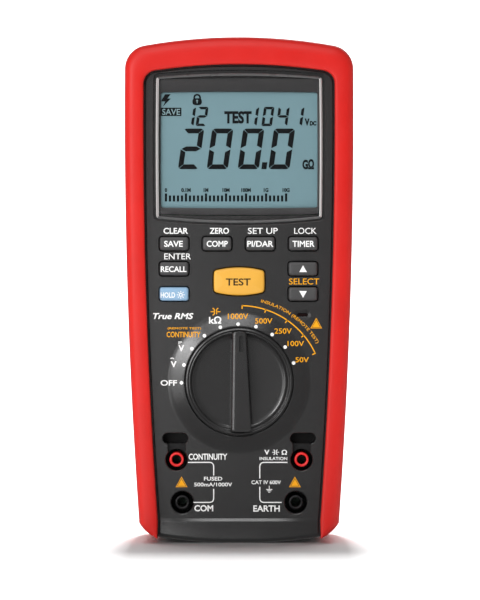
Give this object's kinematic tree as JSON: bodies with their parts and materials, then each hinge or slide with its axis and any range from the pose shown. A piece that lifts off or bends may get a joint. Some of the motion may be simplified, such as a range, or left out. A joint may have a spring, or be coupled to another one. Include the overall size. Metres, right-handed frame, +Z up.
{
  "type": "insulation resistance tester",
  "caption": "Handheld insulation resistance tester with display, keys, rotary selector, shrouded terminals, rubber holster, tilt stand and battery compartment.",
  "frame": {"origin": "middle of the bounding box's underside, under the middle of the bottom end that the tester stands on", "axes": "+Z up along the tester's length to the display end, -Y out of the front face with the keys and the selector, +X to the right seen from the front"},
  "size_m": [0.1018, 0.059, 0.225],
  "materials": {
    "holster_rubber": "satin moulded rubber",
    "case_plastic": "fine spark texture",
    "knob_plastic": "satin",
    "key_grey": "satin",
    "key_amber": "satin",
    "key_blue": "satin",
    "lens": "clear polished",
    "lcd": "gloss",
    "black_plastic": "satin",
    "red_plastic": "gloss",
    "white_plastic": "satin",
    "seal_rubber": "matt",
    "circuit_board": "solder mask",
    "steel": "plated",
    "brass": "bright",
    "copper": "enamelled wire under tape",
    "ferrite": "matt",
    "capacitor_film": "gloss",
    "cell_wrap": "printed sleeve without marks",
    "fuse_ceramic": "glazed",
    "lamp_red": "dark translucent"
  },
  "bodies": {
    "tester": {"holster": "holster_rubber", "front_case": "case_plastic", "rear_case": "case_plastic", "case_seal": "seal_rubber", "case_screw_upper_left": "steel", "case_screw_upper_right": "steel", "case_screw_lower_left": "steel", "case_screw_lower_right": "steel", "stand_hinge_pin": "steel", "battery_cell_1": "cell_wrap", "battery_cell_2": "cell_wrap", "battery_cell_3": "cell_wrap", "battery_cell_4": "cell_wrap", "battery_contacts_upper": "steel", "battery_contacts_lower": "steel", "fuse": "fuse_ceramic", "fuse_clip_left": "brass", "fuse_clip_right": "brass", "display_lens": "lens", "display_mask": "black_plastic", "lcd_panel": "lcd", "lcd_backlight": "white_plastic", "lcd_connector_strip": "seal_rubber", "keypad_mat": "seal_rubber", "detent_spring": "steel", "terminal_block": "black_plastic", "jack_insulator_upper_left": "red_plastic", "jack_insulator_upper_right": "red_plastic", "jack_insulator_lower_left": "black_plastic", "jack_insulator_lower_right": "black_plastic", "jack_contact_upper_left": "brass", "jack_contact_upper_right": "brass", "jack_contact_lower_left": "brass", "jack_contact_lower_right": "brass", "main_board": "circuit_board", "board_screw_left": "steel", "board_screw_right": "steel", "input_board": "circuit_board", "board_link": "black_plastic", "transformer_core": "ferrite", "transformer_coil": "copper", "storage_capacitor": "capacitor_film", "buzzer": "black_plastic", "warning_lamp": "lamp_red"},
    "selector": {"selector_knob": "knob_plastic", "selector_rotor": "white_plastic", "rotor_contacts": "brass"},
    "battery_door": {"battery_door": "case_plastic", "battery_door_screw_left": "steel", "battery_door_screw_right": "steel"},
    "tilt_stand": {"tilt_stand": "case_plastic"},
    "key_save": {"key_save": "key_grey"},
    "key_comp": {"key_comp": "key_grey"},
    "key_pi_dar": {"key_pi_dar": "key_grey"},
    "key_timer": {"key_timer": "key_grey"},
    "key_recall": {"key_recall": "key_grey"},
    "key_up": {"key_up": "key_grey"},
    "key_hold": {"key_hold": "key_blue"},
    "key_down": {"key_down": "key_grey"},
    "key_test": {"key_test": "key_amber"}
  },
  "joints": [
    {"name": "selector_turn", "type": "hinge", "parent": "tester", "child": "selector", "pos_m": [0, -0.0217, 0.0717], "axis": [0, -1, 0], "range_deg": [-72, 90]},
    {"name": "battery_door_lift", "type": "slide", "parent": "tester", "child": "battery_door", "axis": [0, 1, 0], "range_m": [0, 0.02]},
    {"name": "stand_tilt", "type": "hinge", "parent": "tester", "child": "tilt_stand", "pos_m": [0, 0.0233, 0.186], "axis": [1, 0, 0], "range_deg": [0, 40]},
    {"name": "save_press", "type": "slide", "parent": "tester", "child": "key_save", "axis": [0, 1, 0], "range_m": [0, 0.001], "stiffness_N_per_m": 600, "springref_m": -0.0004},
    {"name": "comp_press", "type": "slide", "parent": "tester", "child": "key_comp", "axis": [0, 1, 0], "range_m": [0, 0.001], "stiffness_N_per_m": 600, "springref_m": -0.0004},
    {"name": "pi_dar_press", "type": "slide", "parent": "tester", "child": "key_pi_dar", "axis": [0, 1, 0], "range_m": [0, 0.001], "stiffness_N_per_m": 600, "springref_m": -0.0004},
    {"name": "timer_press", "type": "slide", "parent": "tester", "child": "key_timer", "axis": [0, 1, 0], "range_m": [0, 0.001], "stiffness_N_per_m": 600, "springref_m": -0.0004},
    {"name": "recall_press", "type": "slide", "parent": "tester", "child": "key_recall", "axis": [0, 1, 0], "range_m": [0, 0.001], "stiffness_N_per_m": 600, "springref_m": -0.0004},
    {"name": "up_press", "type": "slide", "parent": "tester", "child": "key_up", "axis": [0, 1, 0], "range_m": [0, 0.001], "stiffness_N_per_m": 600, "springref_m": -0.0004},
    {"name": "hold_press", "type": "slide", "parent": "tester", "child": "key_hold", "axis": [0, 1, 0], "range_m": [0, 0.001], "stiffness_N_per_m": 600, "springref_m": -0.0004},
    {"name": "down_press", "type": "slide", "parent": "tester", "child": "key_down", "axis": [0, 1, 0], "range_m": [0, 0.001], "stiffness_N_per_m": 600, "springref_m": -0.0004},
    {"name": "test_press", "type": "slide", "parent": "tester", "child": "key_test", "axis": [0, 1, 0], "range_m": [0, 0.001], "stiffness_N_per_m": 900, "springref_m": -0.0004}
  ]
}
